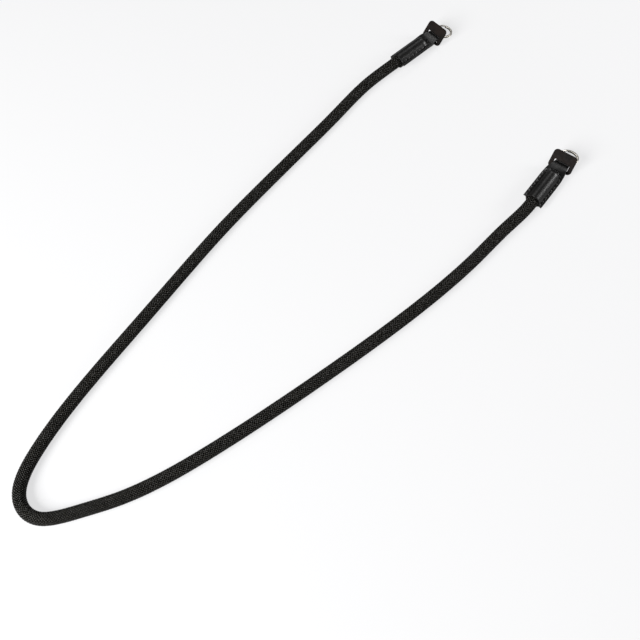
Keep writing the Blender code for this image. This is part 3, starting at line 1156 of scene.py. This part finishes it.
# ---- the split rings
@dataclass
class SplitRing:
    """The ring of flat wire that winds round almost twice."""

    end: End
    diameter: float = 18.0 * MM
    band: float = 1.7 * MM  # radial width of the wire
    wire: float = 0.8 * MM  # thickness of one coil
    coil_gap: float = 0.1 * MM
    chamfer: float = 0.24 * MM
    turns: Pair = (0.08, 1.93)  # where the wire starts and ends
    climb: Pair = (0.95, 1.06)  # where it rises from the first coil to the second
    steps: int = 150
    place: float = 57.6 * MM  # of the ring's middle, along the strip

    def build(self, metal: Material) -> None:
        """Model the ring and hang it in the loop.

        Args:
            metal: The wire's material.
        """
        side = self.end.side.value
        item = add_primitive(f"{side}_ring_wire", bpy.ops.mesh.primitive_plane_add, size=1.0)
        item.data.transform(Matrix.Diagonal((self.band, self.wire, 1.0, 1.0)))
        with editing(item):
            bpy.ops.mesh.bevel(offset=self.chamfer, segments=3, affect="VERTICES")
        start, end = (2 * math.pi * turn for turn in self.turns)
        item.data.transform(
            Matrix.Rotation(start, 4, "Z")
            @ Matrix.Translation(((self.diameter - self.band) / 2, 0, 0))
            @ Matrix.Rotation(math.radians(90), 4, "X")
        )
        corners = len(item.data.vertices)
        circle = {"center": (0.0, 0.0, 0.0), "axis": (0.0, 0.0, 1.0), "use_auto_merge": False}
        with editing(item):
            bpy.ops.mesh.spin(steps=self.steps, angle=end - start, **circle)
        turn_outwards(item)
        low, high = self.climb
        for corner in item.data.vertices:
            share = (corner.index // corners) / self.steps
            turn = self.turns[0] + (self.turns[1] - self.turns[0]) * share
            level = ease((turn - low) / (high - low)) - 0.5
            corner.co.z += (self.wire + self.coil_gap) * level
        smooth_and_place(item, self.end.frame_at(self.place, False))
        finish_piece(item, metal, f"{side}_ring")


# ---- the studio
@dataclass(frozen=True)
class Softbox:
    """A square softbox."""

    name: str
    place: Triple
    target: Triple  # what it faces
    size: float  # length of its sides
    power: float  # in watts

    def build(self) -> None:
        """Hang it up and turn it to its target."""
        light = bpy.data.lights.new(self.name, "AREA")
        light.size = self.size
        light.energy = self.power
        item = bpy.data.objects.new(self.name, light)
        item.location = self.place
        ahead = Vector(self.target) - item.location
        item.rotation_euler = ahead.to_track_quat("-Z", "Y").to_euler()
        bpy.context.scene.collection.objects.link(item)


@dataclass
class Studio:
    """The pale floor, the soft lights and the camera."""

    world_color: str = "#f6f7fa"
    world_strength: float = 0.12
    backdrop_strength: float = 0.72
    softboxes: tuple[Softbox, ...] = (
        Softbox("front_light", (0.2, -1.5, 0.85), (0.03, -0.25, 0.0), 0.8, 40.0),
        Softbox("back_light", (0.42, 1.02, 0.43), (0.0, 0.0, 0.0), 0.4, 9.0),
        Softbox("left_light", (-0.75, 0.85, 0.98), (0.0, 0.0, 0.0), 0.4, 3.0),
    )
    floor_size: float = 14.0
    floor_gap: float = 0.05 * MM  # below the strap
    lens_mm: float = 50.0
    sensor_mm: float = 36.0
    camera_place: Triple = (0.38675, -0.36616, 0.62825)
    camera_turn: Triple = (27.1477, 4.8395, 56.8439)  # about X, Y and Z, in degrees

    def build(self) -> None:
        """Make the floor, lights and camera."""
        self._floor()
        self._world()
        self._camera()
        for softbox in self.softboxes:
            softbox.build()

    def _floor(self) -> None:
        """Make the floor, just below the strap."""
        plane = {"size": self.floor_size, "location": (0.0, 0.0, -self.floor_gap)}
        floor = add_primitive("floor", bpy.ops.mesh.primitive_plane_add, **plane)
        floor.data.materials.append(MattPaper().material())

    def _world(self) -> None:
        """Light the room evenly and dimly from all sides, before a pale paper background."""
        world = bpy.data.worlds.new("studio")
        bpy.context.scene.world = world
        world.use_nodes = True
        tree = world.node_tree
        strength = seen_or_cast(tree, self.backdrop_strength, self.world_strength)
        background = {"Color": linear(self.world_color), "Strength": strength}
        set_inputs(tree, tree.nodes["Background"], background)
        bpy.context.scene.view_settings.view_transform = "Standard"

    def _camera(self) -> None:
        """Stand the camera at the photograph's angle."""
        data = bpy.data.cameras.new("camera")
        data.lens = self.lens_mm
        data.sensor_width = self.sensor_mm
        camera = bpy.data.objects.new("camera", data)
        camera.location = self.camera_place
        camera.rotation_euler = [math.radians(angle) for angle in self.camera_turn]
        bpy.context.scene.collection.objects.link(camera)
        bpy.context.scene.camera = camera


def main() -> None:
    """Build every piece of the strap and the studio round it."""
    logging.basicConfig(level=logging.INFO, format="%(message)s")
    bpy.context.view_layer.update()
    Studio().build()
    Rope(RopeLine(ENDS)).build(BraidYarn().material(), RopeCore().material())
    black = TannedLeather("black_leather", "#060606", "#0f0e0d", 0.36).material()
    brown = TannedLeather("dark_brown_leather", "#0a0706", "#1f1612", 0.7, gloss=0.15).material()
    thread = WaxedThread().material()
    metal = NickelPlate().material()
    for end in ENDS:
        Tab(end).build(black, thread)
        Guard(end).build(brown)
        SplitRing(end).build(metal)


if __name__ == "__main__":
    main()
